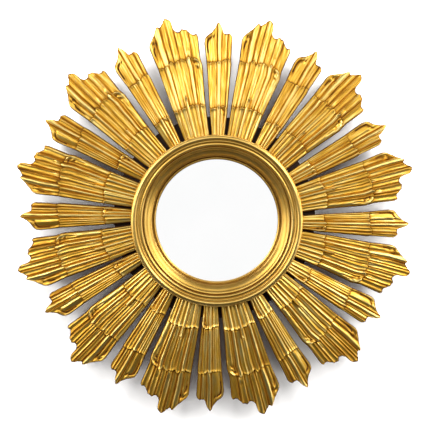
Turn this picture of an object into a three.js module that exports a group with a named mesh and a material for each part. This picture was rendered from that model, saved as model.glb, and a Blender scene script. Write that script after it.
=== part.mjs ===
// A round wall mirror in a gilt sunburst frame.
//
// Millimetres, +Z up, +X to the right. The flat back lies in the plane y = 0, on the wall, and the
// mirror faces -Y. The origin is the middle of the backing disc's back, where the wall holds it.
//
// A brown backing disc carries everything. The round mirror glass and the moulded frame ring lie on
// it, and twenty-four cast rays stand around it: twelve wide and twelve narrow ones by turns. All the
// wide rays come from one mould and all the narrow rays from another. The ring's half-round lies over
// their inner ends. The ring and the glass sit a little low and to the right of the rays' middle, as
// hand mounting left them.
import * as THREE from 'three';

// The real size: about 70 cm across the tips of the wide rays.
const SPAN = 703;

// Depths, measured forward from the wall.
const GAP = 0.3;
const DISC_THICKNESS = 12;
const GLASS_THICKNESS = 4;
const SEAT = DISC_THICKNESS + GAP;
const GLASS_FRONT = SEAT + GLASS_THICKNESS;
const RING_LEDGE = 31.8;
const RING_FRONT = 46;

// Radii of the round pieces.
const DISC_RADIUS = 174;
const GLASS_RADIUS = 110;
const SIGHT_RADIUS = 105;
const LEDGE_RADIUS = 128.6;
const RING_RADIUS = 146.8;
const ROUND_STEPS = 40;

// How far the ring and the glass are set off the middle of the rays.
const MIRROR_SET_OFF = { x: 3.8, z: -4.4 };

// The rays: their inner ends lie under the ring's half-round.
const RAY_START = 135;
const RAY_PAIRS = 12;
const RAY_TURN = 360 / RAY_PAIRS;
const FIRST_WIDE = 15;
const FIRST_NARROW = 30;

// How far each ray is set off its even place, in degrees, as the hand-mounted rays are.
const WIDE_SET_OFF = [-0.7, -0.6, -0.7, -0.9, 0.6, 0.4, 0.2, 0.2, -0.3, -0.8, 0, -0.7];
const NARROW_SET_OFF = [-1.2, -1.1, -0.7, 0, 0.4, 0, -0.4, -0.3, -0.9, -0.8, -0.6, -1.3];

// Every ray is cast in three stages that lie on each other like shingles. A face is given by its
// height in front of the wall where the stage starts and where it ends.
const INNER_FACE = { start: 27.6, end: 29.6 };
const MIDDLE_FACE = { start: 27.4, end: 24.4 };
const OUTER_FACE = { start: 22, end: 17.6 };
const STEP_RUN = 0.8;
const EDGE_DROP = 2.6;
const CROWN_ROUND = 4;
const CROWN_DROP = 2.8;
const CURL_LENGTH = 15;

// A wide ray, in its own frame: u runs to the right and v outward from the mirror's middle. A reed
// ends to the right at the share `to` of the ray's width. Its crest rises over the face, halfway
// across it or at the share `at`, and the stages end on it at the distances inner, middle and tip,
// with the notch beside it at the crown.
const WIDE_RAY = {
  left: [[RAY_START, -16.9], [200, -25.2], [272, -32.3], [306, -37.7]],
  right: [[RAY_START, 25.4], [200, 33.7], [258, 43.9], [272, 42.9], [306, 48.1]],
  corners: [308.5, 311],
  reeds: [
    { to: 0.155, crest: 1.4, inner: 190, middle: 269, tip: 321.5, notch: 329.5 },
    { to: 0.295, crest: 3.2, inner: 192, middle: 270, tip: 341, notch: 339 },
    { to: 0.412, crest: 1.8, inner: 196, middle: 277, tip: 344, notch: 348.5 },
    { to: 0.549, crest: 2.6, at: 0.3, inner: 212, middle: 283, tip: SPAN / 2, notch: 344.5, step: 327.5 },
    { to: 0.677, crest: 1.8, inner: 197, middle: 277, tip: 324, notch: 324 },
    { to: 0.829, crest: 3, inner: 195, middle: 288, tip: 327.5, notch: 324 },
    { to: 1, crest: 2, inner: 187, middle: 270, tip: 313.5 },
  ],
  curls: [
    { reed: 0, stage: 'tip', lip: 2.4, pocket: 3 },
    { reed: 6, stage: 'middle', lip: 2.6, pocket: 2.4 },
  ],
};

const NARROW_RAY = {
  left: [[RAY_START, -6.1], [180, -10.7], [265, -16.9], [299, -21.1]],
  right: [[RAY_START, 14.9], [180, 19.6], [262, 25.5], [275, 25.1], [306, 27.1]],
  corners: [301.5, 308.5],
  reeds: [
    { to: 0.29, crest: 1.6, inner: 186, middle: 268, tip: 312.5, notch: 319.5 },
    { to: 0.455, crest: 1.8, inner: 190, middle: 270, tip: 324.5, notch: 329.5 },
    { to: 0.665, crest: 3.2, at: 0.3, inner: 192, middle: 268, tip: 335, notch: 326.5, step: 316.5 },
    { to: 0.86, crest: 2, inner: 190, middle: 272, tip: 315.5, notch: 316 },
    { to: 1, crest: 1.6, inner: 186, middle: 270, tip: 316.5 },
  ],
  curls: [
    { reed: 0, stage: 'tip', lip: 2.4, pocket: 3 },
    { reed: 3, stage: 'inner', lip: 2.4, pocket: 2 },
  ],
};

const GILT = new THREE.MeshStandardMaterial({ color: 0xc99a3c, roughness: 0.42, metalness: 0.75 });
const RING_GILT = new THREE.MeshStandardMaterial({ color: 0xcfa045, roughness: 0.34, metalness: 0.8 });
const STAINED_WOOD = new THREE.MeshStandardMaterial({ color: 0x2e1a0c, roughness: 0.8, metalness: 0 });
const SILVERED_GLASS = new THREE.MeshStandardMaterial({ color: 0xe9ecec, roughness: 0.04, metalness: 1 });

const mix = (a, b, share) => a + (b - a) * share;

// The value of a line of [v, value] corners at v, held level past its ends.
function along(line, v) {
  if (v <= line[0][0]) return line[0][1];
  for (let i = 1; i < line.length; i += 1) {
    const [v0, a] = line[i - 1];
    const [v1, b] = line[i];
    if (v <= v1) return mix(a, b, (v - v0) / (v1 - v0));
  }
  return line[line.length - 1][1];
}

// A ray's lengthwise columns: its left edge, then each reed's crest and the groove after it. A step
// in the crown needs a second column on the same groove. Each column knows where the stages end.
function rayColumns(ray) {
  const { reeds, corners, curls } = ray;
  const first = reeds[0];
  const columns = [{ t: 0, rise: 0, inner: first.inner, middle: first.middle, tip: corners[0] }];
  let from = 0;
  reeds.forEach((reed, i) => {
    const curl = curls.find((item) => item.reed === i);
    const next = reeds[i + 1];
    const crest = { ...reed, t: mix(from, reed.to, reed.at ?? 0.5), rise: reed.crest, curl };
    if (curl && curl.stage === 'tip') {
      const lipTip = mix(corners[0], reed.tip, 0.55);
      columns.push({ ...crest, t: mix(from, reed.to, 0.22), tip: lipTip, lip: true });
      columns.push(crest);
    } else {
      columns.push({ ...crest, lip: Boolean(curl) });
    }
    const groove = {
      t: reed.to,
      rise: 0,
      inner: next ? Math.min(reed.inner, next.inner) - 1 : reed.inner,
      middle: next ? Math.min(reed.middle, next.middle) - 1 : reed.middle,
      tip: next ? reed.notch : corners[1],
    };
    columns.push(groove);
    if (reed.step) columns.push({ ...groove, t: reed.to + 0.008, tip: reed.step });
    from = reed.to;
  });
  return columns;
}

// The height of a face at v: its own slope, less the fall of the ray's rounded back to its edges.
function faceHeight(face, from, to, v, t) {
  const off = Math.abs(2 * t - 1);
  return mix(face.start, face.end, (v - from) / (to - from)) - EDGE_DROP * off ** 3;
}

// The points of one column from the ring to the crown, as [v, height].
function columnPoints(column) {
  const { t, rise, inner, middle, tip, curl, lip } = column;
  const innerEnd = faceHeight(INNER_FACE, RAY_START, 195, inner, t) + rise;
  const middleStart = faceHeight(MIDDLE_FACE, 195, 275, inner, t) + rise * 0.8;
  const middleEnd = faceHeight(MIDDLE_FACE, 195, 275, middle, t) + rise;
  const outer = (v) => faceHeight(OUTER_FACE, 275, SPAN / 2, v, t) + rise;
  const raised = (stage) => (lip && curl.stage === stage ? curl.lip : 0);
  const sunk = (stage) => (curl && curl.stage === stage ? -curl.pocket : 0);
  const pocketAt = tip - CURL_LENGTH;
  const tipSwing = lip ? raised('tip') : sunk('tip');
  return [
    [RAY_START, faceHeight(INNER_FACE, RAY_START, 195, RAY_START, t) + rise],
    [inner, innerEnd + raised('inner')],
    [inner + STEP_RUN, middleStart + sunk('inner')],
    [middle, middleEnd + raised('middle')],
    [middle + STEP_RUN, outer(middle) + sunk('middle') * 0.5],
    [pocketAt, outer(pocketAt) + tipSwing],
    [tip - CROWN_ROUND, outer(tip) + (lip ? raised('tip') : 0)],
    [tip, outer(tip) - CROWN_DROP],
  ];
}

// A cast ray as one closed body: the carved front, walls straight back from its outline, and a flat
// back. x is u, y is v and z is the height in front of the wall.
function rayGeometry(ray) {
  const columns = rayColumns(ray);
  const vertices = [];
  const faces = [];
  const vertex = (x, y, z) => vertices.push([x, y, z]) - 1;

  const front = columns.map((column) => columnPoints(column).map(([v, height]) => {
    const u = mix(along(ray.left, v), along(ray.right, v), column.t);
    return vertex(u, v, height);
  }));
  const rows = front[0].length;
  for (let c = 0; c + 1 < front.length; c += 1) {
    for (let r = 0; r + 1 < rows; r += 1) {
      const [a, b] = [front[c][r], front[c + 1][r]];
      const [d, e] = [front[c + 1][r + 1], front[c][r + 1]];
      faces.push([a, b, d], [a, d, e]);
    }
  }

  // The outline, counterclockwise from the lower left corner: the right side, the crown, the left.
  const last = front.length - 1;
  const rim = [
    front[0][0],
    ...front[last],
    ...front.slice(1, -1).reverse().map((column) => column[rows - 1]),
    ...front[0].slice(1).reverse(),
  ];
  const back = rim.map((i) => vertex(vertices[i][0], vertices[i][1], SEAT));
  for (let i = 1; i < rim.length; i += 1) {
    const j = (i + 1) % rim.length;
    faces.push([rim[j], rim[i], back[i]], [rim[j], back[i], back[j]]);
  }
  const outline = back.map((i) => new THREE.Vector2(vertices[i][0], vertices[i][1]));
  for (const [a, b, c] of THREE.ShapeUtils.triangulateShape(outline, [])) {
    faces.push([back[a], back[c], back[b]]);
  }

  // The inner end, which lies under the ring, is one flat wall below the reeds.
  const end = [back[0], back[1], ...front.map((column) => column[0]).reverse()];
  const wall = end.map((i) => new THREE.Vector2(vertices[i][0], vertices[i][2]));
  for (const [a, b, c] of THREE.ShapeUtils.triangulateShape(wall, [])) {
    faces.push([end[a], end[b], end[c]]);
  }

  const geometry = new THREE.BufferGeometry();
  geometry.setAttribute('position', new THREE.Float32BufferAttribute(vertices.flat(), 3));
  geometry.setIndex(faces.flat());
  geometry.computeVertexNormals();
  return geometry;
}

// A body turned about the mirror's middle from [radius, height] corners, facing the room.
function turnedMesh(name, corners, material) {
  const profile = corners.map(([radius, height]) => new THREE.Vector2(radius, height));
  const mesh = new THREE.Mesh(new THREE.LatheGeometry(profile, ROUND_STEPS), material);
  mesh.name = name;
  mesh.rotation.x = Math.PI;
  return mesh;
}

function discMesh(name, radius, backHeight, frontHeight, material) {
  const corners = [[0, backHeight], [radius, backHeight], [radius, frontHeight], [0, frontHeight]];
  return turnedMesh(name, corners, material);
}

// The frame ring's section, counterclockwise from the glass rebate's outer corner: the seat on the
// disc, the ledge over the rays, the half-round, two beads, a deep quirk, a fillet, the cove down to
// the glass and a last bead around the sight edge.
function ringMesh() {
  const lipBack = GLASS_FRONT + GAP;
  const rebate = GLASS_RADIUS + 2 * GAP;
  return turnedMesh('frame_ring', [
    [rebate, SEAT],
    [LEDGE_RADIUS, SEAT],
    [LEDGE_RADIUS, RING_LEDGE],
    [RING_RADIUS - 2.2, RING_LEDGE],
    [RING_RADIUS, RING_LEDGE + 5],
    [RING_RADIUS - 0.8, RING_FRONT - 4],
    [RING_RADIUS - 3, RING_FRONT - 0.8],
    [RING_RADIUS - 5.4, RING_FRONT],
    [RING_RADIUS - 8, RING_FRONT - 1.4],
    [RING_RADIUS - 9.6, RING_FRONT - 3.6],
    [RING_RADIUS - 11.6, RING_FRONT - 2.8],
    [RING_RADIUS - 13.6, RING_FRONT - 5.2],
    [RING_RADIUS - 16.8, RING_FRONT - 4.8],
    [RING_RADIUS - 19.2, RING_FRONT - 6.8],
    [RING_RADIUS - 20.6, RING_FRONT - 9.6],
    [RING_RADIUS - 23.4, RING_FRONT - 9.2],
    [RING_RADIUS - 26.4, RING_FRONT - 12],
    [RING_RADIUS - 30.6, RING_FRONT - 14.6],
    [RING_RADIUS - 34.4, RING_FRONT - 18.4],
    [SIGHT_RADIUS + 5.2, GLASS_FRONT + 4.3],
    [SIGHT_RADIUS + 1.8, GLASS_FRONT + 5.2],
    [SIGHT_RADIUS, GLASS_FRONT + 3],
    [SIGHT_RADIUS, lipBack],
    [rebate, lipBack],
    [rebate, SEAT],
  ], RING_GILT);
}

// Rays are modelled pointing up, then each is turned about the mirror's middle to its own angle,
// counted counterclockwise from +X as seen from the front.
function addRays(parent, label, geometry, firstAngle, setOff) {
  for (let i = 0; i < RAY_PAIRS; i += 1) {
    const angle = firstAngle + RAY_TURN * i + setOff[i];
    const place = new THREE.Group();
    place.rotation.y = THREE.MathUtils.degToRad(90 - angle);
    const mesh = new THREE.Mesh(geometry, GILT);
    mesh.name = `${label}_${String(i + 1).padStart(2, '0')}`;
    mesh.rotation.x = Math.PI / 2;
    place.add(mesh);
    parent.add(place);
  }
}

const mirror = new THREE.Group();
mirror.name = 'sunburst_mirror';
mirror.add(discMesh('backing_disc', DISC_RADIUS, 0, DISC_THICKNESS, STAINED_WOOD));
const glass = discMesh('mirror_glass', GLASS_RADIUS, SEAT, GLASS_FRONT, SILVERED_GLASS);
for (const piece of [glass, ringMesh()]) {
  piece.position.set(MIRROR_SET_OFF.x, 0, MIRROR_SET_OFF.z);
  mirror.add(piece);
}
addRays(mirror, 'wide_ray', rayGeometry(WIDE_RAY), FIRST_WIDE, WIDE_SET_OFF);
addRays(mirror, 'narrow_ray', rayGeometry(NARROW_RAY), FIRST_NARROW, NARROW_SET_OFF);

export default mirror;
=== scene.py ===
# %% [markdown]
# # A round wall mirror in a gilt sunburst frame
#
# The real object hangs flat on a wall. A dark wooden disc carries a round mirror glass, a turned
# gold ring around it, and twenty-four cast rays: twelve wide and twelve narrow ones by turns. The
# measured solids of all these pieces come first, as a fixed frame. Every finished piece below takes
# the place of one of them, so nothing has to be fitted by eye.

# %% Load the measured frame
import math

import bmesh
import bpy
from mathutils import Matrix, Vector, noise


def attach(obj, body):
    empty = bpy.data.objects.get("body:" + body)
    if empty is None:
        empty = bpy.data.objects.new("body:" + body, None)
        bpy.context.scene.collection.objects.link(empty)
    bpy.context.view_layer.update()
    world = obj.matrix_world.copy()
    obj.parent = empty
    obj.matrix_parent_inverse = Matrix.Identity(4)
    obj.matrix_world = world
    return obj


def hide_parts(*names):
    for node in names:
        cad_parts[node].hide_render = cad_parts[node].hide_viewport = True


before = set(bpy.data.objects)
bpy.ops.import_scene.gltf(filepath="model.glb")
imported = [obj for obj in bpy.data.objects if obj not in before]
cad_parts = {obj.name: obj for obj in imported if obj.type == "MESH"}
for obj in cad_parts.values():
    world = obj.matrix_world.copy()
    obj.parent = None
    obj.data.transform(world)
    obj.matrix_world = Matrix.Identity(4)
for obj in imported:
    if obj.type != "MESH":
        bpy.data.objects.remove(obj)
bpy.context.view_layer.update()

# %% [markdown]
# ## Sizes that every piece shares
#
# A maker thinks of this frame in millimetres, measured forward from the wall and outward from the
# middle of the rays. Blender works in metres, so one factor turns one into the other. The ring and
# the glass were mounted a little low and to the right of that middle. Small helpers for easing
# between values are defined here once, because the rays, the ring and the wear on them all need them.

# %% Sizes and small helpers
MM = 0.001

SEAT = 12.3
GLASS_FRONT = 16.3
GLASS_RADIUS = 110.0
DISC_RADIUS = 174.0
DISC_THICKNESS = 12.0
RAY_START = 135.0
MIRROR_SET_OFF = (3.8, 0.0, -4.4)


def mix(a, b, share):
    return a + (b - a) * share


def ease(low, high, value):
    share = min(1.0, max(0.0, (value - low) / (high - low)))
    return share * share * (3 - 2 * share)


def along(line, where):
    """The value of a line of (where, value) corners, held level past its ends."""
    if where <= line[0][0]:
        return line[0][1]
    for (start, a), (end, b) in zip(line, line[1:]):
        if where <= end:
            return mix(a, b, (where - start) / (end - start))
    return line[-1][1]


print("helpers ready, one millimetre is", MM, "metres")

# %% [markdown]
# ## Building materials from nodes
#
# Each finish is a small graph of nodes. Writing every link by hand hides what the finish does, so one
# helper makes a node, fills in its numbers and links the sockets that are handed to it.

# %% A helper for node graphs
def new_material(name):
    material = bpy.data.materials.new(name)
    material.use_nodes = True
    tree = material.node_tree
    return material, tree, tree.nodes["Principled BSDF"]


def add_node(tree, kind, inputs, **settings):
    made = tree.nodes.new(kind)
    for name, value in settings.items():
        setattr(made, name, value)
    for name, value in inputs.items():
        plug(tree, made.inputs[name], value)
    return made


def plug(tree, socket, value):
    if isinstance(value, bpy.types.NodeSocket):
        tree.links.new(value, socket)
    else:
        socket.default_value = value


def calculate(tree, operation, *values, clamp=False):
    inputs = dict(enumerate(values))
    return add_node(tree, "ShaderNodeMath", inputs, operation=operation, use_clamp=clamp).outputs[0]


def colour_ramp(tree, factor, stops):
    ramp = add_node(tree, "ShaderNodeValToRGB", {"Fac": factor})
    elements = ramp.color_ramp.elements
    while len(elements) < len(stops):
        elements.new(1.0)
    for element, (position, colour) in zip(elements, stops):
        element.position = position
        element.color = (*colour, 1.0)
    return ramp.outputs["Color"]


def noise_value(tree, vector, scale, detail, stretch=None):
    if stretch:
        vector = add_node(tree, "ShaderNodeMapping", {"Vector": vector, "Scale": stretch}).outputs[0]
    inputs = {"Vector": vector, "Scale": scale, "Detail": detail}
    return add_node(tree, "ShaderNodeTexNoise", inputs).outputs[0]


def spread(tree, value, low, high, start, end):
    inputs = {"Value": value, 1: low, 2: high, 3: start, 4: end}
    return add_node(tree, "ShaderNodeMapRange", inputs).outputs[0]


def mix_colours(tree, share, first, second):
    """A mix node keeps its two colour inputs in sockets 6 and 7 and its colour output in socket 2."""
    mixed = add_node(tree, "ShaderNodeMix", {}, data_type="RGBA")
    for socket, value in ((0, share), (6, first), (7, second)):
        plug(tree, mixed.inputs[socket], value)
    return mixed.outputs[2]


def sway(tree, value, pattern, amount, clamp=False):
    """The value, moved up and down by a pattern of noise, which runs from 0 to 1 around a half."""
    swing = calculate(tree, "SUBTRACT", pattern, 0.5)
    return calculate(tree, "MULTIPLY_ADD", swing, amount, value, clamp=clamp)


print("node helpers ready")

# %% [markdown]
# ## The antique gold of the rays
#
# The rays are gilded over a brown ground. The gold is rubbed pale on the crests, and that pale is
# partly a painted highlight. It is warm on the flat of the reeds, and the brown glaze stays in the
# grooves, in the curls and under the steps. The edges of the carved front, the crown and the sides
# carry painted shade, where they turn away from the light. All of this is one number at a point, the
# age of the gold with the painted shade and highlight, and a colour ramp turns it into colour. The
# mesh itself knows where its crests and hollows are, so it carries them as attributes: one for the
# crests, and one for the glaze together with the painted edge shade.
# "Bare" marks the ungilded back, and "reach" is the distance from the middle of the rays in metres,
# because the gold is made a little darker towards the tips. The streaks follow the length of a ray
# because they are drawn on the ray's own coordinates, the attribute "grain", whatever way it points.

# %% Antique gold
# the pale gold of rubbed crests, which is partly a painted highlight
RUBBED_AND_HIGHLIGHT_GOLD = (0.95, 0.71, 0.23)
LEAF_GOLD = (0.80, 0.475, 0.065)
AMBER_GOLD = (0.50, 0.235, 0.02)
# the darkest brown: the glaze in the hollows, and also the painted shade on the edges and sides
BROWN_GLAZE_AND_SHADE = (0.11, 0.038, 0.006)
BROWN_GROUND = (0.055, 0.026, 0.012)

# scale, detail, and stretch across, along and through the ray
STREAKS = (420.0, 5.0, (1.0, 0.07, 0.7))
PATCHES = (70.0, 3.0, (1.0, 0.35, 1.0))
BLOTCHES = (26.0, 3.0, (1.0, 0.5, 1.0))
SPECKS = (900.0, 2.0, (1.0, 0.4, 1.0))

# how far the glaze and the painted edge shade darken the gold
GLAZE_AND_SHADE_AMOUNT = 0.8
PATCH_HOLD = (0.36, 0.6, 0.5, 1.0)
# how much paler the crests are: rubbed wear and painted highlight
CREST_WEAR_AND_HIGHLIGHT = -0.26
STREAK_AGE = 1.25
BLOTCH_AGE = 0.6
SPECK_RELIEF = 0.12
# the gold is made a little darker from the near reach to the far one
NEAR_REACH, NEAR_DARKENING = 0.14, 0.16
FAR_REACH, FAR_DARKENING = 0.33, 0.36

NEW_ROUGHNESS, OLD_ROUGHNESS, BARE_ROUGHNESS = 0.33, 0.68, 0.8
GLAZE_STARTS, GLAZED_METAL = 0.45, 0.45


def read_attribute(tree, name, output="Fac"):
    return add_node(tree, "ShaderNodeAttribute", {}, attribute_name=name).outputs[output]


def antique_gold():
    material, tree, shader = new_material("antique_gold")
    grain = read_attribute(tree, "grain", "Vector")
    glaze_and_edge_shade = read_attribute(tree, "glaze_and_edge_shade")
    crest = read_attribute(tree, "crest")
    bare = read_attribute(tree, "bare")
    reach = read_attribute(tree, "reach")
    streaks = noise_value(tree, grain, *STREAKS)
    patches = noise_value(tree, grain, *PATCHES)
    blotches = noise_value(tree, grain, *BLOTCHES)
    specks = noise_value(tree, grain, *SPECKS)

    # the glaze in the hollows and the painted shade on the edges, held back in patches
    patchy_glaze_and_shade = calculate(tree, "MULTIPLY", glaze_and_edge_shade, spread(tree, patches, *PATCH_HOLD))
    # darker towards the tips
    age_and_painted_light = spread(tree, reach, NEAR_REACH, FAR_REACH, NEAR_DARKENING, FAR_DARKENING)
    age_and_painted_light = calculate(tree, "MULTIPLY_ADD", patchy_glaze_and_shade, GLAZE_AND_SHADE_AMOUNT, age_and_painted_light)
    age_and_painted_light = sway(tree, age_and_painted_light, streaks, STREAK_AGE)
    age_and_painted_light = sway(tree, age_and_painted_light, blotches, BLOTCH_AGE)
    # crests are paler: partly rubbed wear, partly painted highlight
    age_and_painted_light = calculate(tree, "MULTIPLY_ADD", crest, CREST_WEAR_AND_HIGHLIGHT, age_and_painted_light, clamp=True)
    gold = colour_ramp(tree, age_and_painted_light, [
        (0.05, RUBBED_AND_HIGHLIGHT_GOLD),
        (0.3, LEAF_GOLD),
        (0.62, AMBER_GOLD),
        (0.95, BROWN_GLAZE_AND_SHADE),
    ])
    colour = mix_colours(tree, bare, gold, (*BROWN_GROUND, 1.0))
    plug(tree, shader.inputs["Base Color"], colour)

    gilded = calculate(tree, "SUBTRACT", 1.0, bare)
    metal = spread(tree, age_and_painted_light, GLAZE_STARTS, 1.0, 1.0, GLAZED_METAL)
    plug(tree, shader.inputs["Metallic"], calculate(tree, "MULTIPLY", metal, gilded))
    on_gold = spread(tree, age_and_painted_light, 0.0, 1.0, NEW_ROUGHNESS, OLD_ROUGHNESS)
    on_ground = calculate(tree, "MULTIPLY", bare, BARE_ROUGHNESS)
    plug(tree, shader.inputs["Roughness"], calculate(tree, "MAXIMUM", on_gold, on_ground))

    relief = calculate(tree, "MULTIPLY_ADD", specks, SPECK_RELIEF, streaks)
    bump = add_node(tree, "ShaderNodeBump", {"Strength": 0.3, "Distance": 0.0006, "Height": relief})
    plug(tree, shader.inputs["Normal"], bump.outputs[0])
    return material


GOLD = antique_gold()
print("finish:", GOLD.name, "with", len(GOLD.node_tree.nodes), "nodes")

# %% [markdown]
# ## The ring's satin gold
#
# The turned ring is finished smoother than the rays. Its gold is even and satin, with faint lines
# that run around it, left by the turning tool and by the polishing cloth, and a brown glaze in the
# quirks between its mouldings. Noise that is read mostly by radius and depth makes lines that run
# round, and a little of the plain place in it keeps them from being perfect circles.

# %% Satin gold
SATIN_PALE = (0.94, 0.68, 0.24)
SATIN_GOLD = (0.76, 0.48, 0.11)
SATIN_DEEP = (0.44, 0.23, 0.03)
LINE_FINENESS = 60.0
LINES = (14.0, 4.0)
CLOUDS = (26.0, 3.0)

SATIN_ROUGHNESS = (0.28, 0.5)
SATIN_GLAZE_STARTS, SATIN_GLAZED_METAL = 0.5, 0.6
SATIN_AGE = 0.26
SATIN_GLAZE_AGE = 0.75
LINE_AGE = 0.45
CLOUD_AGE = 0.4


def satin_gold():
    material, tree, shader = new_material("satin_gold")
    place = add_node(tree, "ShaderNodeTexCoord", {}).outputs["Object"]
    middle = tuple(side * MM for side in MIRROR_SET_OFF)
    centred = add_node(tree, "ShaderNodeVectorMath", {0: place, 1: middle}, operation="SUBTRACT")
    axes = add_node(tree, "ShaderNodeSeparateXYZ", {"Vector": centred.outputs[0]})
    flat = add_node(tree, "ShaderNodeCombineXYZ", {"X": axes.outputs["X"], "Y": axes.outputs["Z"]})
    radius = add_node(tree, "ShaderNodeVectorMath", {0: flat.outputs[0]}, operation="LENGTH")
    across = calculate(tree, "MULTIPLY", radius.outputs["Value"], LINE_FINENESS)
    depth = calculate(tree, "MULTIPLY", axes.outputs["Y"], LINE_FINENESS)
    turned = add_node(tree, "ShaderNodeCombineXYZ", {"X": across, "Y": depth})
    around = add_node(tree, "ShaderNodeVectorMath", {0: turned.outputs[0], 1: place}, operation="ADD")
    lines = noise_value(tree, around.outputs[0], *LINES)
    clouds = noise_value(tree, place, *CLOUDS)
    glaze_and_edge_shade = read_attribute(tree, "glaze_and_edge_shade")

    age_and_painted_light = calculate(tree, "MULTIPLY_ADD", glaze_and_edge_shade, SATIN_GLAZE_AGE, SATIN_AGE)
    age_and_painted_light = sway(tree, age_and_painted_light, lines, LINE_AGE)
    age_and_painted_light = sway(tree, age_and_painted_light, clouds, CLOUD_AGE, clamp=True)
    gold = colour_ramp(tree, age_and_painted_light, [
        (0.05, SATIN_PALE),
        (0.32, SATIN_GOLD),
        (0.62, SATIN_DEEP),
        (0.95, BROWN_GLAZE_AND_SHADE),
    ])
    plug(tree, shader.inputs["Base Color"], gold)
    plug(tree, shader.inputs["Roughness"], spread(tree, age_and_painted_light, 0.0, 1.0, *SATIN_ROUGHNESS))
    metal = spread(tree, age_and_painted_light, SATIN_GLAZE_STARTS, 1.0, 1.0, SATIN_GLAZED_METAL)
    plug(tree, shader.inputs["Metallic"], metal)
    bump = add_node(tree, "ShaderNodeBump", {"Strength": 0.12, "Distance": 0.0004, "Height": lines})
    plug(tree, shader.inputs["Normal"], bump.outputs[0])
    return material


RING_GOLD = satin_gold()
print("finish:", RING_GOLD.name)

# %% [markdown]
# ## Stained wood and silvered glass
#
# The disc behind everything is stained almost black-brown, so that it reads as a deep shadow between
# the rays. Its grain runs sideways. The glass is silvered at its back: one smooth reflecting face
# with a faint cool tint and the lightest unevenness that an old silvering shows.

# %% Stained wood and silvered glass
FIBRES = (260.0, 6.0, (0.06, 1.0, 1.0))
BOARDS = (18.0, 3.0, (0.12, 1.0, 1.0))
HAZE = (9.0, 2.0)
FIBRE_TONE = 0.5
BOARD_TONE = 0.6
WOOD_ROUGHNESS = (0.55, 0.8)
GLASS_ROUGHNESS = (0.015, 0.03)
NOISE_MIDDLE = (0.3, 0.7)


def stained_wood():
    material, tree, shader = new_material("stained_wood")
    place = add_node(tree, "ShaderNodeTexCoord", {}).outputs["Object"]
    fibres = noise_value(tree, place, *FIBRES)
    boards = noise_value(tree, place, *BOARDS)
    fibre_tone = calculate(tree, "MULTIPLY", fibres, FIBRE_TONE)
    tone = calculate(tree, "MULTIPLY_ADD", boards, BOARD_TONE, fibre_tone)
    stain = colour_ramp(tree, tone, [
        (0.3, (0.012, 0.005, 0.002)),
        (0.55, (0.040, 0.017, 0.007)),
        (0.8, (0.075, 0.034, 0.014)),
    ])
    plug(tree, shader.inputs["Base Color"], stain)
    plug(tree, shader.inputs["Roughness"], spread(tree, fibres, *NOISE_MIDDLE, *WOOD_ROUGHNESS))
    bump = add_node(tree, "ShaderNodeBump", {"Strength": 0.4, "Distance": 0.0003, "Height": fibres})
    plug(tree, shader.inputs["Normal"], bump.outputs[0])
    return material


def silvered_glass():
    material, tree, shader = new_material("silvered_glass")
    place = add_node(tree, "ShaderNodeTexCoord", {}).outputs["Object"]
    haze = noise_value(tree, place, *HAZE)
    silver = colour_ramp(tree, haze, [(0.35, (0.93, 0.94, 0.945)), (0.65, (0.95, 0.955, 0.96))])
    plug(tree, shader.inputs["Base Color"], silver)
    plug(tree, shader.inputs["Roughness"], spread(tree, haze, *NOISE_MIDDLE, *GLASS_ROUGHNESS))
    shader.inputs["Metallic"].default_value = 1.0
    return material


WOOD = stained_wood()
GLASS = silvered_glass()
print("finishes:", WOOD.name, GLASS.name)

# %% [markdown]
# ## Turning a finished mesh into a piece
#
# Every piece ends the same way. Its normals point outward. It shades smoothly, except over sharp edges
# and on its big flat faces, which are the only ones with more than four corners: without that, the
# glass would shade like a lens. Then it hangs on the one body of the mirror, takes the place of its
# measured solid, and gets its material.

# %% Finishing a piece
SHARP_ANGLE = math.radians(62)
QUAD_CORNERS = 4


def finish_piece(bm, name, material, node):
    bmesh.ops.recalc_face_normals(bm, faces=bm.faces)
    mesh = bpy.data.meshes.new(name)
    bm.to_mesh(mesh)
    bm.free()
    mesh.set_sharp_from_angle(angle=SHARP_ANGLE)
    small_faces = [len(face.vertices) <= QUAD_CORNERS for face in mesh.polygons]
    mesh.polygons.foreach_set("use_smooth", small_faces)
    mesh.materials.append(material)
    piece = bpy.data.objects.new(name, mesh)
    bpy.context.scene.collection.objects.link(piece)
    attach(piece, "root")
    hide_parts(node)
    return piece


def triangles(piece):
    piece.data.calc_loop_triangles()
    return len(piece.data.loop_triangles)


print("pieces finish with edges sharper than", round(math.degrees(SHARP_ANGLE)), "degrees marked")

# %% [markdown]
# ## The section of a ray
#
# Seen from its end, a ray is a row of reeds. Narrow dark grooves part them, a few reeds are one
# broad ridge, and the others are shallow flutes between two thin raised lines. A section is a list of
# such features across the ray: the share of the width, the height over the face in millimetres, and
# the name of the feature. Grooves and lines are sharp, ridges and flutes are round, and a cubic
# curve joins them.

# %% Sections across the moulds
SHARP_FEATURES = ("groove", "line")
SHARPNESS = 2.3

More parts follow.
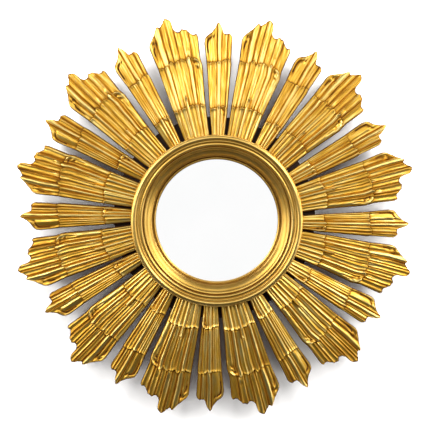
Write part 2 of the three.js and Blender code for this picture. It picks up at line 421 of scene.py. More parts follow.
WIDE_SECTIONS = {
    "inner": [
        (0, -0.9, "edge"), (0.03, 1.0, "ridge"), (0.09, 0.7, "flute"), (0.133, -0.5, "groove"),
        (0.172, 0.9, "flute"), (0.208, 2.9, "ridge"), (0.25, 0.5, "flute"), (0.31, 1.2, "line"),
        (0.36, 0.8, "flute"), (0.404, -0.4, "groove"), (0.458, 2.9, "ridge"), (0.52, 0.0, "groove"),
        (0.6, 1.3, "line"), (0.668, -0.2, "groove"), (0.742, 3.1, "ridge"), (0.8, -0.4, "groove"),
        (0.85, 1.2, "line"), (0.89, 0.6, "flute"), (0.95, 2.1, "ridge"), (1, -0.9, "edge"),
    ],
    "middle": [
        (0, -0.9, "edge"), (0.03, 1.4, "ridge"), (0.075, 0.7, "flute"), (0.11, 0.9, "line"),
        (0.145, -0.6, "groove"), (0.205, 3.3, "ridge"), (0.256, -0.8, "groove"), (0.292, 1.2, "line"),
        (0.322, 0.7, "flute"), (0.354, 0.9, "line"), (0.387, -0.6, "groove"), (0.432, 1.9, "line"),
        (0.462, 1.3, "flute"), (0.49, 1.7, "line"), (0.515, -0.5, "groove"), (0.56, 1.3, "line"),
        (0.6, 0.8, "flute"), (0.64, 1.2, "line"), (0.671, -0.5, "groove"), (0.722, 3.3, "ridge"),
        (0.779, -0.9, "groove"), (0.808, 1.0, "line"), (0.838, -0.2, "groove"), (0.915, 2.1, "ridge"),
        (1, -0.9, "edge"),
    ],
    "outer": [
        (0, -0.9, "edge"), (0.03, 1.5, "ridge"), (0.067, 0.5, "flute"), (0.109, 1.2, "ridge"),
        (0.158, -0.5, "groove"), (0.234, 3.5, "ridge"), (0.297, -1.1, "groove"), (0.327, 1.3, "line"),
        (0.36, 0.8, "flute"), (0.387, 1.5, "line"), (0.412, -0.9, "groove"), (0.448, 2.5, "line"),
        (0.485, 1.5, "flute"), (0.519, 2.3, "line"), (0.545, -0.9, "groove"), (0.573, 1.5, "line"),
        (0.601, 0.8, "flute"), (0.634, 1.5, "line"), (0.667, -0.6, "groove"), (0.695, 2.5, "line"),
        (0.739, 1.3, "flute"), (0.782, 2.6, "line"), (0.818, -1.2, "groove"), (0.855, 1.8, "line"),
        (0.903, 0.8, "flute"), (0.958, 2.0, "ridge"), (1, -0.9, "edge"),
    ],
}

NARROW_SECTIONS = {
    "inner": [
        (0, -0.9, "edge"), (0.06, 1.2, "ridge"), (0.2, 0.6, "flute"), (0.3, 1.2, "line"),
        (0.4, -0.4, "groove"), (0.51, 2.8, "ridge"), (0.6, -0.2, "groove"), (0.71, 1.6, "ridge"),
        (0.82, -0.4, "groove"), (0.91, 1.6, "ridge"), (1, -0.9, "edge"),
    ],
    "middle": [
        (0, -0.9, "edge"), (0.05, 1.5, "ridge"), (0.105, 0.3, "groove"), (0.165, 1.1, "line"),
        (0.2, 0.5, "flute"), (0.255, 1.9, "line"), (0.3, 0.2, "groove"), (0.345, 1.6, "line"),
        (0.4, -0.4, "groove"), (0.51, 3.0, "ridge"), (0.6, -0.1, "groove"), (0.66, 1.6, "line"),
        (0.71, 0.9, "flute"), (0.77, 1.7, "line"), (0.85, -0.9, "groove"), (0.925, 1.8, "ridge"),
        (1, -0.9, "edge"),
    ],
    "outer": [
        (0, -0.9, "edge"), (0.05, 1.6, "ridge"), (0.125, 0.4, "flute"), (0.3, 1.8, "ridge"),
        (0.376, 0.9, "flute"), (0.42, 1.3, "line"), (0.454, -0.7, "groove"), (0.545, 3.4, "ridge"),
        (0.632, -0.2, "groove"), (0.677, 1.2, "line"), (0.717, 0.6, "flute"), (0.777, 2.3, "ridge"),
        (0.844, -1.2, "groove"), (0.889, 1.6, "line"), (0.933, 0.8, "flute"), (0.97, 1.2, "ridge"),
        (1, -0.9, "edge"),
    ],
}


def section_height(section, t):
    """The height over the face at the share t of the width."""
    for (start, low, first), (end, high, second) in zip(section, section[1:]):
        if t <= end:
            break
    share = min(1.0, max(0.0, (t - start) / (end - start)))
    climb = high - low
    leave = SHARPNESS * climb if first in SHARP_FEATURES else 0.0
    reach = SHARPNESS * climb if second in SHARP_FEATURES or second == "edge" else 0.0
    if first == "edge":
        leave = SHARPNESS * climb
    return (
        low * (2 * share**3 - 3 * share**2 + 1)
        + high * (3 * share**2 - 2 * share**3)
        + leave * (share**3 - 2 * share**2 + share)
        + reach * (share**3 - share**2)
    )


print("features across a wide ray:", {stage: len(rows) for stage, rows in WIDE_SECTIONS.items()})

# %% [markdown]
# ## The two moulds
#
# A ray is cast in three stages that lie on each other like shingles. Its outline is two edge lines
# and a broken crown. The stages end on lines across the ray, which follow the reeds: a high ridge
# runs out further than a groove. At some corners the leaf curls over: a raised stroke runs around
# the corner, and a sunk stroke is the dark pocket inside it. Both are drawn as short paths, and each
# is written down as its stage, its width, its rise and the path.

# %% The wide and the narrow mould
WIDE_MOULD = {
    "left": [(135, -16.9), (200, -25.2), (272, -32.3), (306, -37.7)],
    "right": [(135, 25.4), (200, 33.7), (258, 43.9), (272, 42.9), (306, 48.1)],
    "sections": WIDE_SECTIONS,
    "inner_end": [
        (0, 191), (0.13, 190), (0.2, 190), (0.3, 193), (0.4, 194), (0.436, 194), (0.442, 209),
        (0.466, 210), (0.488, 209), (0.494, 194), (0.6, 195), (0.74, 192), (0.85, 193), (1, 187),
    ],
    "middle_end": [
        (0, 268), (0.15, 268), (0.21, 266), (0.27, 272), (0.33, 276), (0.4, 270), (0.44, 272),
        (0.5, 274), (0.55, 276), (0.62, 274), (0.67, 271), (0.73, 275), (0.8, 274), (0.86, 272),
        (0.92, 268.5), (0.965, 263), (1, 256),
    ],
    "crown": [
        (0, 308), (0.012, 312.5), (0.035, 316), (0.083, 321.5), (0.142, 328), (0.201, 336),
        (0.232, 340.1), (0.255, 340.9), (0.285, 339.1), (0.308, 339.5), (0.34, 342.5), (0.365, 344.1),
        (0.391, 348), (0.425, 351.1), (0.444, 351.5), (0.486, 349.9), (0.533, 346), (0.548, 342.5),
        (0.556, 331), (0.581, 326.5), (0.628, 323.8), (0.672, 324.5), (0.723, 327.7), (0.765, 325.3),
        (0.812, 324.7), (0.832, 321), (0.889, 314.5), (0.93, 313), (0.97, 313.9), (0.99, 312.7),
        (1, 311),
    ],
    "strokes": [
        ("outer", 1.7, 1.0, [(-35.4, 288), (-35.9, 304), (-34.2, 312.5), (-29, 319.6), (-23, 325.6)]),
        ("outer", 1.4, -2.2, [(-30.4, 313.4), (-26.6, 315), (-23.8, 314), (-23.4, 310.6)]),
        ("outer", 1.3, 0.9, [(-33.4, 304), (-31.8, 308.6), (-29, 310.4), (-26.6, 308), (-25.4, 300)]),
        ("outer", 1.3, -2.0, [(-29, 306.6), (-30.6, 302), (-30.4, 295)]),
        ("outer", 1.3, -1.2, [(-30.4, 295), (-28.4, 282)]),
        ("outer", 0.9, -1.3, [(2.2, 285.6), (6.8, 285.6)]),
        ("outer", 1.9, 0.8, [(4.2, 277), (4.4, 283)]),
        ("outer", 0.9, -1.3, [(22.4, 290.4), (27.8, 290.4)]),
        ("outer", 2.2, 0.9, [(24.8, 281), (25.2, 288)]),
        ("middle", 1.7, 1.1, [(29.8, 272.4), (34.6, 270.2), (38.8, 266.2), (41, 259.6), (40.6, 247)]),
        ("middle", 1.1, -2.0, [(29.6, 268), (33, 266.4), (36.2, 263)]),
        ("middle", 1.2, 0.8, [(31, 263.8), (36.6, 259)]),
        ("middle", 1.3, -2.0, [(31, 260), (34, 257.6), (36.8, 253.6)]),
        ("middle", 1.6, -0.9, [(35.4, 251), (33.8, 238)]),
    ],
}

NARROW_MOULD = {
    "left": [(135, -6.1), (180, -10.7), (265, -16.9), (299, -21.1)],
    "right": [(135, 14.9), (180, 19.6), (262, 25.5), (275, 25.1), (306, 27.1)],
    "sections": NARROW_SECTIONS,
    "inner_end": [
        (0, 185), (0.3, 187), (0.5, 189), (0.62, 189), (0.75, 190), (0.87, 189), (0.94, 184), (1, 175),
    ],
    "middle_end": [
        (0, 264), (0.25, 265), (0.45, 265), (0.55, 264.5), (0.63, 266), (0.75, 269.5), (0.88, 270),
        (1, 267),
    ],
    "crown": [
        (0, 301), (0.02, 307.5), (0.06, 310.5), (0.115, 313.1), (0.244, 317.5), (0.329, 322.5),
        (0.39, 326.9), (0.42, 330.5), (0.44, 333.1), (0.479, 335), (0.51, 334.5), (0.543, 332.5),
        (0.607, 328.1), (0.65, 322.9), (0.675, 318.1), (0.714, 315.5), (0.8, 315.1), (0.845, 316.1),
        (0.874, 316.7), (0.915, 315.5), (0.96, 313.1), (0.99, 310.5), (1, 308.5),
    ],
    "strokes": [
        ("outer", 1.6, 1.0, [(-18.4, 276), (-19.2, 294), (-18.4, 303.6), (-14.8, 309), (-8, 312.6)]),
        ("outer", 1.2, -2.0, [(-3.6, 311.4), (-8.4, 309), (-12.8, 306.8), (-15.4, 303)]),
        ("outer", 1.2, -2.0, [(-15.4, 303), (-15.8, 294), (-14.8, 284)]),
        ("outer", 1.4, -1.0, [(-14.8, 284), (-13.8, 274)]),
        ("inner", 1.4, 0.9, [(9.6, 190), (13.4, 190), (16.4, 187.4), (17.4, 181), (16.4, 169)]),
        ("inner", 1.1, -1.9, [(10.6, 186.2), (14.2, 183.2)]),
        ("inner", 1.2, -1.8, [(11.6, 180.6), (14.6, 176)]),
        ("inner", 1.4, -0.8, [(13.4, 174), (12.8, 164)]),
    ],
}

print("strokes in the moulds:", len(WIDE_MOULD["strokes"]), "and", len(NARROW_MOULD["strokes"]))

# %% [markdown]
# ## The height of a point on a ray
#
# The face of each stage has its own slope: the inner one rises a little towards its end, the others
# fall. Over that lie the section, the strokes of the curls, a soft flare where a stage ends, and the
# faint waver of a carved master. The same sums say how deep a point lies in a hollow, where the glaze
# gathers, and how far it stands up on a crest. Along the sides of the front and along the crown they
# add painted shade, where the edge turns away from the light. The finish uses all of this later.

# %% Heights, hollows with painted edge shade, and crests
FACES = {
    # where the slope starts, its height there, where it ends, and its height there
    "inner": (135, 27.6, 195, 29.6),
    "middle": (195, 27.4, 275, 24.4),
    "outer": (275, 22.0, 351.5, 17.6),
}
EDGE_DROP = 2.6
FLARE = 0.9
FLARE_LENGTH = 5.0
STEP_ROUND = 0.8
CROWN_ROUND = 3.4
CROWN_DROP = 2.6
FOOT_SINK = 0.7
FOOT_LENGTH = 1.6
WAVES = [
    # rise, waves across and along the ray for each millimetre, seed
    (0.22, 0.16, 0.03, 7.0),
    (0.088, 0.6, 0.09, 1.0),
]
WANDER = 0.0035
WANDER_ACROSS = 9.0
WANDER_ALONG = 0.035
WANDER_SEED = 3.0
GROOVE_HEIGHTS = (0.95, -0.45)
POCKET_DEPTHS = (0.3, 1.9)
CREST_HEIGHTS = (1.3, 3.0)
# widths in millimetres of the painted shade along the sides of the front and along the crown
SHADED_BORDER = 2.1
SHADED_CROWN = 3.4
GROOVE_GLAZE = 0.55
STEP_GLAZE = 1.0
# how dark the painted shade on the edges and the sides is
BORDER_PAINTED_SHADE = 1.5


def path_distance(path, u, v):
    nearest = math.inf
    for (u0, v0), (u1, v1) in zip(path, path[1:]):
        du, dv = u1 - u0, v1 - v0
        share = ((u - u0) * du + (v - v0) * dv) / (du * du + dv * dv)
        share = min(1.0, max(0.0, share))
        nearest = min(nearest, math.hypot(u - u0 - du * share, v - v0 - dv * share))
    return nearest


def stroke_height(mould, stage, u, v):
    total = 0.0
    for where, width, rise, path in mould["strokes"]:
        if where == stage:
            total += rise * math.exp(-(path_distance(path, u, v) / width) ** 2)
    return total


def round_over(drop, length, distance):
    """How far a rounded end has fallen at a distance before it."""
    share = max(0.0, 1 - distance / length)
    return drop * (1 - math.sqrt(max(0.0, 1 - share * share)))


def ray_point(mould, stage, t, v, past_step, before_end):
    """Height in millimetres, glaze with painted edge shade, and crest of one point of a ray's carved
    front.
    """
    u = mix(along(mould["left"], v), along(mould["right"], v), t)
    start, low, end, high = FACES[stage]
    height = mix(low, high, (v - start) / (end - start)) - EDGE_DROP * abs(2 * t - 1) ** 3
    wandered = t + WANDER * noise.noise(Vector((v * WANDER_ALONG, t * WANDER_ACROSS, WANDER_SEED)))
    carved = section_height(mould["sections"][stage], min(1.0, max(0.0, wandered)))
    strokes = stroke_height(mould, stage, u, v)
    height += carved + strokes
    for rise, across, lengthwise, seed in WAVES:
        height += rise * noise.noise(Vector((u * across, v * lengthwise, seed)))
    foot = math.exp(-past_step / FOOT_LENGTH) if stage != "inner" else 0.0
    side = min(t, 1 - t) * (along(mould["right"], v) - along(mould["left"], v))
    # painted shade along the sides of the carved front, where it turns away from the light
    border = ease(SHADED_BORDER, 0, side)
    height -= FOOT_SINK * foot
    if stage == "outer":
        height -= round_over(CROWN_DROP, CROWN_ROUND, before_end)
        # painted shade along the crown as well
        border = max(border, ease(SHADED_CROWN, 0, before_end))
    else:
        height += FLARE * (1 - ease(0, FLARE_LENGTH, before_end))
        height -= round_over(STEP_ROUND, STEP_ROUND, before_end)
    groove = GROOVE_GLAZE * ease(*GROOVE_HEIGHTS, carved)
    pocket = ease(*POCKET_DEPTHS, -strokes)
    # glaze in the grooves, the pockets and under the steps, and painted shade along the border
    glaze_and_edge_shade = max(groove, pocket, STEP_GLAZE * foot, BORDER_PAINTED_SHADE * border)
    # the crest, where the gold is rubbed and a highlight is painted
    crest = ease(*CREST_HEIGHTS, carved + max(0.0, strokes))
    return height, glaze_and_edge_shade, crest


on_ridge = ray_point(WIDE_MOULD, "middle", 0.205, 240, 40, 30)
print("height, hollow and crest on a ridge of a wide ray:", [round(value, 2) for value in on_ridge])

# %% [markdown]
# ## Carving a ray from a grid
#
# A flat grid is the block that the ray is carved from. Each of its columns runs the length of the
# ray and keeps its share of the width. Its rows are shared out between the three stages, close
# together at the steps and at the crown, so that the steps stay crisp. The columns are spaced as
# shares of the width and the rows in millimetres.

# %% Rows and columns of the grid
COLUMN_SPACING = 0.0068
COLUMN_MERGE = 0.0022
ROW_SPACING = 3.2
AFTER_STEP = (0.0, 0.5, 1.2, 2.4, 4.0)
BEFORE_END = (6.0, 4.2, 2.8, 1.8, 1.1, 0.7, 0.35, 0.12, 0.0)
STEP_RUN = 0.45
REED_REACH = 0.9
STAGE_LENGTHS = {"inner": 50, "middle": 78, "outer": 55}
STAGES = tuple(STAGE_LENGTHS)


def column_shares(mould):
    """Shares of the width: every feature and every corner of the crown, and steps between them."""
    marks = {0.0, 1.0}
    for section in mould["sections"].values():
        marks.update(t for t, _, _ in section)
    marks.update(t for t, _ in mould["crown"])
    marks.update(t for t, _ in mould["inner_end"])
    shares = []
    for mark in sorted(marks):
        if shares and mark - shares[-1] < COLUMN_MERGE and mark < 1.0:
            continue
        if shares:
            steps = max(1, math.ceil((mark - shares[-1]) / COLUMN_SPACING))
            first = shares[-1]
            shares.extend(mix(first, mark, step / steps) for step in range(1, steps))
        shares.append(mark)
    return shares


def stage_ends(mould, t):
    """Where the three stages end at the share t. A high reed runs out further."""
    ends = []
    for stage in STAGES[:-1]:
        rise = section_height(mould["sections"][stage], t)
        ends.append(along(mould[stage + "_end"], t) + REED_REACH * rise)
    return ends + [along(mould["crown"], t)]


def row_plan():
    """One entry a row: the stage, and a distance after its start, a share, or one before its end."""
    plan = []
    for stage, length in STAGE_LENGTHS.items():
        between = math.ceil((length - AFTER_STEP[-1] - BEFORE_END[0]) / ROW_SPACING)
        plan += [(stage, "after", distance) for distance in AFTER_STEP]
        plan += [(stage, "share", step / between) for step in range(1, between)]
        plan += [(stage, "before", distance) for distance in BEFORE_END]
    return plan


def row_distance(start, end, kind, amount):
    if kind == "after":
        return start + amount
    if kind == "before":
        return end - amount
    return mix(start + AFTER_STEP[-1], end - BEFORE_END[0], amount)


columns = [len(column_shares(mould)) for mould in (WIDE_MOULD, NARROW_MOULD)]
print("rows:", len(row_plan()), "columns of a wide and a narrow ray:", columns)

# %% [markdown]
# ## One ray of each mould
#
# Every point of the grid looks up its column and its row, and moves to its place on the ray. It takes
# its glaze with the painted edge shade, its crest and its reach along as attributes. The border of the
# carved front is then extruded twice, down the sides and on to the flat back, and the back is filled.
# The sides get the painted edge shade too. The gold ends low on the sides: it fades into bare ground
# between that side row and the back.

# %% Carve one ray
SIDE_ROW = 15.0


def carve_ray(mould):
    shares = column_shares(mould)
    rows = row_plan()
    bm = bmesh.new()
    bmesh.ops.create_grid(bm, x_segments=len(shares) - 1, y_segments=len(rows) - 1, size=0.5)
    names = ("glaze_and_edge_shade", "crest", "bare", "reach")
    layers = {name: bm.verts.layers.float.new(name) for name in names}
    ends = [stage_ends(mould, t) for t in shares]
    for vert in bm.verts:
        column = round((vert.co.x + 0.5) * (len(shares) - 1))
        stage, kind, amount = rows[round((vert.co.y + 0.5) * (len(rows) - 1))]
        t = shares[column]
        stops = [RAY_START - STEP_RUN] + ends[column]
        index = STAGES.index(stage)
        start, end = stops[index] + STEP_RUN, stops[index + 1]
        v = row_distance(start, end, kind, amount)
        height, glaze_and_edge_shade, crest = ray_point(mould, stage, t, v, v - start, end - v)
        u = mix(along(mould["left"], v), along(mould["right"], v), t)
        vert.co = (u * MM, v * MM, height * MM)
        vert[layers["glaze_and_edge_shade"]] = glaze_and_edge_shade
        vert[layers["crest"]] = crest
        vert[layers["reach"]] = v * MM
    close_back(bm, layers)
    return bm


def close_back(bm, layers):
    """Extrude the border of the carved front to the flat back and fill it."""
    border = [edge for edge in bm.edges if edge.is_boundary]
    for height, bare in ((SIDE_ROW, 0.0), (SEAT, 1.0)):
        made = bmesh.ops.extrude_edge_only(bm, edges=border)["geom"]
        for vert in made:
            if isinstance(vert, bmesh.types.BMVert):
                vert.co.z = height * MM
                # the sides get the same painted shade as the edges of the front
                vert[layers["glaze_and_edge_shade"]] = BORDER_PAINTED_SHADE
                vert[layers["crest"]] = 0.0
                vert[layers["bare"]] = bare
        border = [edge for edge in made if isinstance(edge, bmesh.types.BMEdge) and edge.is_boundary]
    bmesh.ops.edgeloop_fill(bm, edges=border)
    bmesh.ops.recalc_face_normals(bm, faces=bm.faces)


wide_ray = carve_ray(WIDE_MOULD)
narrow_ray = carve_ray(NARROW_MOULD)
print("carved:", len(wide_ray.faces), "and", len(narrow_ray.faces), "faces")

# %% [markdown]
# ## Setting the rays around the mirror
#
# All the wide rays come from one mould and all the narrow ones from the other, so one mesh of each is
# copied and turned to its own angle. The rays were mounted by hand: each is set off its even place by
# up to a degree or so. Before it is turned, a copy keeps its own coordinates in the attribute
# "grain", with a shift of its own, so that no two rays are streaked alike.

# %% Copy and turn the rays
RAY_PAIRS = 12
RAY_TURN = 360 / RAY_PAIRS
FIRST_WIDE = 15
FIRST_NARROW = 30
WIDE_SET_OFF = [-0.7, -0.6, -0.7, -0.9, 0.6, 0.4, 0.2, 0.2, -0.3, -0.8, 0, -0.7]
NARROW_SET_OFF = [-1.2, -1.1, -0.7, 0, 0.4, 0, -0.4, -0.3, -0.9, -0.8, -0.6, -1.3]
GRAIN_SHIFT = 0.173


def set_ray(master, name, angle, shift):
    bm = master.copy()
    grain = bm.verts.layers.float_vector.new("grain")
    for vert in bm.verts:
        vert[grain] = vert.co + Vector((shift, shift, shift))
    turn = math.radians(angle)
    place = Matrix((
        (math.sin(turn), math.cos(turn), 0),
        (0, 0, -1),
        (-math.cos(turn), math.sin(turn), 0),
    ))
    bmesh.ops.rotate(bm, verts=bm.verts, cent=(0, 0, 0), matrix=place)
    return finish_piece(bm, "gilt_" + name, GOLD, name)


rays = []
for i in range(RAY_PAIRS):
    angle = RAY_TURN * i
    number = f"{i + 1:02d}"
    wide_angle = FIRST_WIDE + angle + WIDE_SET_OFF[i]
    narrow_angle = FIRST_NARROW + angle + NARROW_SET_OFF[i]
    rays.append(set_ray(wide_ray, "wide_ray_" + number, wide_angle, GRAIN_SHIFT * i))
    rays.append(set_ray(narrow_ray, "narrow_ray_" + number, narrow_angle, GRAIN_SHIFT * (i + 0.5)))
wide_ray.free()
narrow_ray.free()
print("rays:", len(rays), "triangles:", sum(triangles(ray) for ray in rays))

# %% [markdown]
# ## The turned ring
#
# A ring like this is turned on a lathe: a cutter shapes one section, and the work spins. The bmesh
# spin does the same. The section is a list of mouldings from the outside in, each a chord with a
# bulge: a fat half-round, two beads, the broad cove that falls to the glass, and a last thin bead.
# Sharp quirks part them, and they hold the brown glaze. The glass lies in a rebate that is a little
# wider than it is, behind a lip that keeps just clear of it.

# %% Turn the ring
RING_STEPS = 240
SEAM = 1e-6
REBATE_RADIUS = GLASS_RADIUS + 0.6
LIP_BACK = GLASS_FRONT + 0.3
RING_SECTION = [
    # radius, height, bulge of the moulding that ends here, pieces in its curve, glaze
    (REBATE_RADIUS, SEAT, 0, 1, 0.6),
    (128.6, SEAT, 0, 1, 0.6),
    (128.6, 31.8, 0, 1, 0.9),
    (144.8, 31.8, 0, 1, 0.9),
    (146.8, 37.4, 0.9, 4, 0.4),
    (141.8, 46.0, 2.3, 12, 0.0),
    (137.4, 43.0, 1.0, 8, 0.15),
    (137.0, 42.7, -0.1, 2, 0.45),
    (133.4, 40.9, 1.0, 8, 0.2),
    (132.9, 40.5, -0.1, 2, 0.6),
    (127.0, 38.2, 1.9, 10, 0.0),
    (126.3, 36.4, -0.1, 2, 1.0),
    (125.5, 37.5, 0, 2, 0.8),
    (121.0, 34.6, 0.9, 8, 0.1),
    (120.3, 34.0, -0.1, 2, 0.4),
    (112.4, 27.6, 0.7, 10, 0.2),
    (110.3, 20.4, 0.4, 4, 0.8),
    (109.0, 19.6, -0.2, 3, 1.0),
    (105.6, 19.6, 1.6, 8, 0.1),
    (105.0, LIP_BACK, 0.1, 2, 0.5),
    (REBATE_RADIUS, LIP_BACK, 0, 1, 1.0),
]


def arc_points(start, end, bulge, pieces):
    """Points of a shallow arc from start to end. It bulges to the left of the chord."""
    (x0, y0), (x1, y1) = start, end
    chord = math.hypot(x1 - x0, y1 - y0)
    normal = ((y1 - y0) / chord, (x0 - x1) / chord)
    points = []
    for piece in range(1, pieces + 1):
        share = piece / pieces
        push = bulge * 4 * share * (1 - share)
        points.append((mix(x0, x1, share) + normal[0] * push, mix(y0, y1, share) + normal[1] * push))
    return points


def turn_ring():
    bm = bmesh.new()
    glaze_and_edge_shade = bm.verts.layers.float.new("glaze_and_edge_shade")
    section = []
    for i, (radius, height, bulge, pieces, glaze) in enumerate(RING_SECTION):
        before = RING_SECTION[i - 1]
        points = arc_points(before[:2], (radius, height), bulge, pieces)
        for number, (x, y) in enumerate(points, 1):
            vert = bm.verts.new((x * MM, -y * MM, 0))
            middle = min(before[4], glaze) * 0.5
            share = abs(2 * number / pieces - 1)
            ends = before[4] if number / pieces < 0.5 else glaze
            vert[glaze_and_edge_shade] = mix(middle, ends, share**3)
            section.append(vert)
    edges = [bm.edges.new((a, b)) for a, b in zip(section, section[1:] + section[:1])]
    bmesh.ops.spin(
        bm, geom=section + edges, cent=(0, 0, 0), axis=(0, 1, 0), dvec=(0, 0, 0),
        angle=math.tau, steps=RING_STEPS, use_merge=True, use_normal_flip=False, use_duplicate=False,
    )
    bmesh.ops.remove_doubles(bm, verts=bm.verts, dist=SEAM)
    return bm


turned = turn_ring()
bmesh.ops.translate(turned, verts=turned.verts, vec=Vector(MIRROR_SET_OFF) * MM)
ring = finish_piece(turned, "turned_ring", RING_GOLD, "frame_ring")
print("ring:", triangles(ring), "triangles")

# %% [markdown]
# ## The disc and the glass
#
# Both are plain round plates. The disc has a sawn edge, softened with sandpaper, and the glass has a
# fine ground edge. A short cylinder laid on its side and a bevel on its two rims make either.

# %% Cut the disc and the glass
PLATE_STEPS = 240
EDGE_STEPS = 3
SAWN_EDGE = 1.4
GROUND_EDGE = 0.5


def round_plate(radius, back, front, softening, middle):
    bm = bmesh.new()
    bmesh.ops.create_cone(
        bm, cap_ends=True, cap_tris=False, segments=PLATE_STEPS, radius1=radius * MM,
        radius2=radius * MM, depth=(front - back) * MM,
    )
    bmesh.ops.rotate(bm, verts=bm.verts, cent=(0, 0, 0), matrix=Matrix.Rotation(math.pi / 2, 3, "X"))
    place = Vector(middle) - Vector((0, (front + back) / 2, 0))
    bmesh.ops.translate(bm, verts=bm.verts, vec=place * MM)
    caps = [face for face in bm.faces if len(face.verts) > QUAD_CORNERS]
    rims = [edge for edge in bm.edges if any(face in caps for face in edge.link_faces)]
    bmesh.ops.bevel(
        bm, geom=rims, offset=softening * MM, offset_type="OFFSET", segments=EDGE_STEPS, profile=0.5,
        affect="EDGES", material=-1,
    )
    return bm


sawn = round_plate(DISC_RADIUS, 0, DISC_THICKNESS, SAWN_EDGE, (0, 0, 0))
disc = finish_piece(sawn, "wooden_disc", WOOD, "backing_disc")
ground = round_plate(GLASS_RADIUS, SEAT, GLASS_FRONT, GROUND_EDGE, MIRROR_SET_OFF)
glass = finish_piece(ground, "round_glass", GLASS, "mirror_glass")
print("plates:", triangles(disc), triangles(glass), "triangles")

# %% [markdown]
# ## The wall and the floor
#
# The mirror hangs on a plain white wall, which catches the soft shadows between the rays. Seen from
# behind, the wall would hide the mirror, so its back is see-through: the Backfacing output of the
# Geometry node picks a transparent shader there. A pale floor lies far below. It shows to the camera
# only: the gold doesn't reflect it, just as if a dark cloth lay in front of the wall.

# %% Wall and floor
STAGE_SIZE = 6.0
WALL_GAP = 0.0006
FLOOR_LEVEL = -1.6
WALL_WHITE = (0.90, 0.895, 0.90)
FLOOR_WHITE = (0.80, 0.795, 0.79)
PAINT_ROUGHNESS = 0.9
PAINT_SPECULAR = 0.2


def stage_paint(name, colour, see_through_back):
    material, tree, shader = new_material(name)
    shader.inputs["Base Color"].default_value = (*colour, 1.0)
    shader.inputs["Roughness"].default_value = PAINT_ROUGHNESS
    shader.inputs["Specular IOR Level"].default_value = PAINT_SPECULAR
    if see_through_back:
        behind = add_node(tree, "ShaderNodeNewGeometry", {}).outputs["Backfacing"]
        clear = add_node(tree, "ShaderNodeBsdfTransparent", {})
        inputs = {0: behind, 1: shader.outputs[0], 2: clear.outputs[0]}
        chosen = add_node(tree, "ShaderNodeMixShader", inputs)
        output = tree.nodes["Material Output"]
        tree.links.new(chosen.outputs[0], output.inputs["Surface"])
    return material


def stage_plane(name, place, turn, material):
    bm = bmesh.new()
    bmesh.ops.create_grid(bm, x_segments=1, y_segments=1, size=STAGE_SIZE / 2)
    mesh = bpy.data.meshes.new(name)
    bm.to_mesh(mesh)
    bm.free()
    mesh.materials.append(material)
    plane = bpy.data.objects.new(name, mesh)
    plane.location = place
    plane.rotation_euler = turn
    bpy.context.scene.collection.objects.link(plane)
    return plane


wall_place = (0, WALL_GAP, FLOOR_LEVEL + STAGE_SIZE / 2)
wall_paint = stage_paint("wall_paint", WALL_WHITE, True)
wall = stage_plane("wall", wall_place, (math.pi / 2, 0, 0), wall_paint)
floor_paint = stage_paint("floor_paint", FLOOR_WHITE, False)
floor = stage_plane("floor", (0, 0, FLOOR_LEVEL), (0, 0, 0), floor_paint)
floor.visible_diffuse = False
floor.visible_glossy = False
print("stage:", wall.name, floor.name)

# %% [markdown]
# ## Light
#
# Gold has no colour of its own to speak of: it shows what stands around it. Soft boxes high to the
# left and the right give the ring its two bright shoulders and the reeds their bright and dark
# flanks, and a large one above the viewer fills the flat faces. Little light comes from below, so
# the lower rays stay deep in tone. The white wall has its own row of wash lights, which graze it from
# the sides and from above. They shine into the upper gaps between the rays and leave the lower ones
# darker. Two weaker ones low at the sides soften the shadow under the lowest rays. Light linking
# keeps the two sets apart. One more lamp, behind the wall, serves the views from the back. Only the
# mirror's own pieces throw a shadow in its light, so the wall doesn't block it.

# %% Lights
LAMP_COLOUR = (1.0, 0.99, 0.97)


def soft_box(name, place, size, power, lit):
    """A square lamp that faces the mirror. Its place and side are in metres, its power in watts."""
    light = bpy.data.lights.new(name, "AREA")
    light.shape = "SQUARE"
    light.size = size
    light.energy = power
    light.color = LAMP_COLOUR
    lamp = bpy.data.objects.new(name, light)
    lamp.location = place
    lamp.rotation_euler = (-Vector(place)).to_track_quat("-Z", "Y").to_euler()
    lamp.visible_camera = False
    lamp.light_linking.receiver_collection = lit
    bpy.context.scene.collection.objects.link(lamp)
    return lamp


def group(name, members):
    made = bpy.data.collections.new(name)
    for member in members:
        made.objects.link(member)
    return made


mirror_pieces = group("mirror_pieces", rays + [ring, disc, glass])
room_planes = group("room_planes", [wall, floor])

MIRROR_LIGHTS = [
    # name, place, side, power
    ("left_box", (-1.0, -1.2, 0.6), 0.7, 11.4),
    ("right_box", (0.95, -1.2, 0.7), 0.7, 9.8),
    ("left_rim", (-1.25, -0.5, 0.12), 0.7, 4.2),
    ("right_rim", (1.25, -0.5, -0.1), 0.7, 3.2),
    ("high_rim", (1.1, -0.55, 0.75), 0.7, 5.4),
    ("fill_box", (0.0, -1.6, 0.92), 1.2, 7.2),
]
WALL_LIGHTS = [
    # name, place, side, power
    ("wall_wash_right", (1.15, -0.35, 0.0), 0.6, 20),
    ("wall_wash_high_right", (0.82, -0.35, 0.82), 0.6, 28),
    ("wall_wash_top", (0.0, -0.35, 1.15), 0.6, 34),
    ("wall_wash_high_left", (-0.82, -0.35, 0.82), 0.6, 28),
    ("wall_wash_left", (-1.15, -0.35, 0.0), 0.6, 18),
    ("wall_wash_low_left", (-0.82, -0.3, -0.82), 0.5, 8),
    ("wall_wash_low_right", (0.82, -0.3, -0.82), 0.5, 9),
]
BACK_LIGHT = ("back_box", (0.9, 1.8, 1.0), 1.2, 22)
lamps = [soft_box(*row, mirror_pieces) for row in MIRROR_LIGHTS]
lamps += [soft_box(*row, room_planes) for row in WALL_LIGHTS]
back_box = soft_box(*BACK_LIGHT, mirror_pieces)
back_box.light_linking.blocker_collection = mirror_pieces
print("lamps:", len(lamps) + 1)

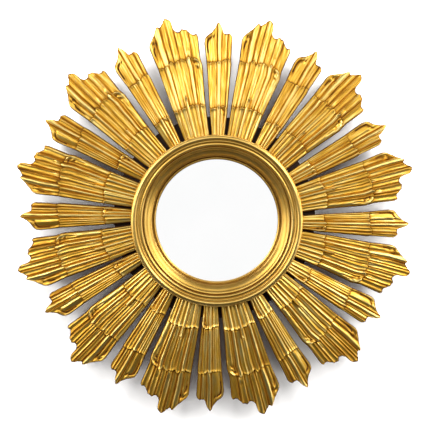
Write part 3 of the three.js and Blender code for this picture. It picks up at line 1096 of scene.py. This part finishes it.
# %% [markdown]
# ## The room that the gold and the glass reflect
#
# Behind the viewer there is one small white screen, and that is what the glass shows from the front.
# The screen ends softly, between two cosines of the angle from its middle. Around it the room is dim:
# darkest just around the screen and below, and a little paler high up and at the sides. Only where the
# camera looks past the wall does it see a plain pale backdrop.

# %% Room
ROOM_WHITE = (1.0, 0.995, 0.99, 1.0)
SCREEN_WAY = (0.0, -0.999, -0.043)
SCREEN_EDGE = (0.9915, 0.9962)
SCREEN_LEVEL = 1.02
RISE = (-0.1, 0.6)
LOW_LEVEL = 0.1
HIGH_LEVEL = 0.2
AROUND_SCREEN = (-0.85, -0.6)
AROUND_SCREEN_SHARE = 0.12
BACKDROP_LEVEL = 0.78

world = bpy.data.worlds.new("room")
bpy.context.scene.world = world
world.use_nodes = True
room = world.node_tree
way = add_node(room, "ShaderNodeTexCoord", {}).outputs["Generated"]
way_parts = add_node(room, "ShaderNodeSeparateXYZ", {"Vector": way})
toward = add_node(room, "ShaderNodeVectorMath", {0: way, 1: SCREEN_WAY}, operation="DOT_PRODUCT")
screen = spread(room, toward.outputs["Value"], *SCREEN_EDGE, 0.0, SCREEN_LEVEL)
upward = spread(room, way_parts.outputs["Z"], *RISE, LOW_LEVEL, HIGH_LEVEL)
sideward = spread(room, way_parts.outputs["Y"], *AROUND_SCREEN, AROUND_SCREEN_SHARE, 1.0)
dim = calculate(room, "MULTIPLY", upward, sideward)
lighting = calculate(room, "ADD", screen, dim)
seen = add_node(room, "ShaderNodeLightPath", {}).outputs["Is Camera Ray"]
level = spread(room, seen, 0.0, 1.0, lighting, BACKDROP_LEVEL)
plug(room, room.nodes["Background"].inputs["Strength"], level)
room.nodes["Background"].inputs["Color"].default_value = ROOM_WHITE

bpy.context.scene.view_settings.view_transform = "Standard"
bpy.context.scene.view_settings.look = "None"
print("room:", world.name)

# %% [markdown]
# ## The camera
#
# The photograph was taken from about two metres, a little above the middle of the mirror. The camera
# looks at a point slightly beside the middle, because the picture is not quite centred.

# %% Camera
DISTANCE = 2.0
LOOK_DOWN = math.radians(2.3)
LOOK_SIDE = math.radians(-0.4)
PIXELS = 432
PIXELS_PER_METRE = 581.4
AIM = Vector((0.0024, -0.02, 0.0033))

camera_data = bpy.data.cameras.new("camera")
camera_data.sensor_width = 36.0
camera_data.lens = camera_data.sensor_width * PIXELS_PER_METRE * DISTANCE / PIXELS
camera = bpy.data.objects.new("camera", camera_data)
offset = Vector((
    math.sin(LOOK_SIDE) * math.cos(LOOK_DOWN),
    -math.cos(LOOK_SIDE) * math.cos(LOOK_DOWN),
    math.sin(LOOK_DOWN),
))
camera.location = AIM + offset * DISTANCE
camera.rotation_euler = (-offset).to_track_quat("-Z", "Y").to_euler()
bpy.context.scene.collection.objects.link(camera)
bpy.context.scene.camera = camera
print("lens:", round(camera_data.lens, 1), "mm")
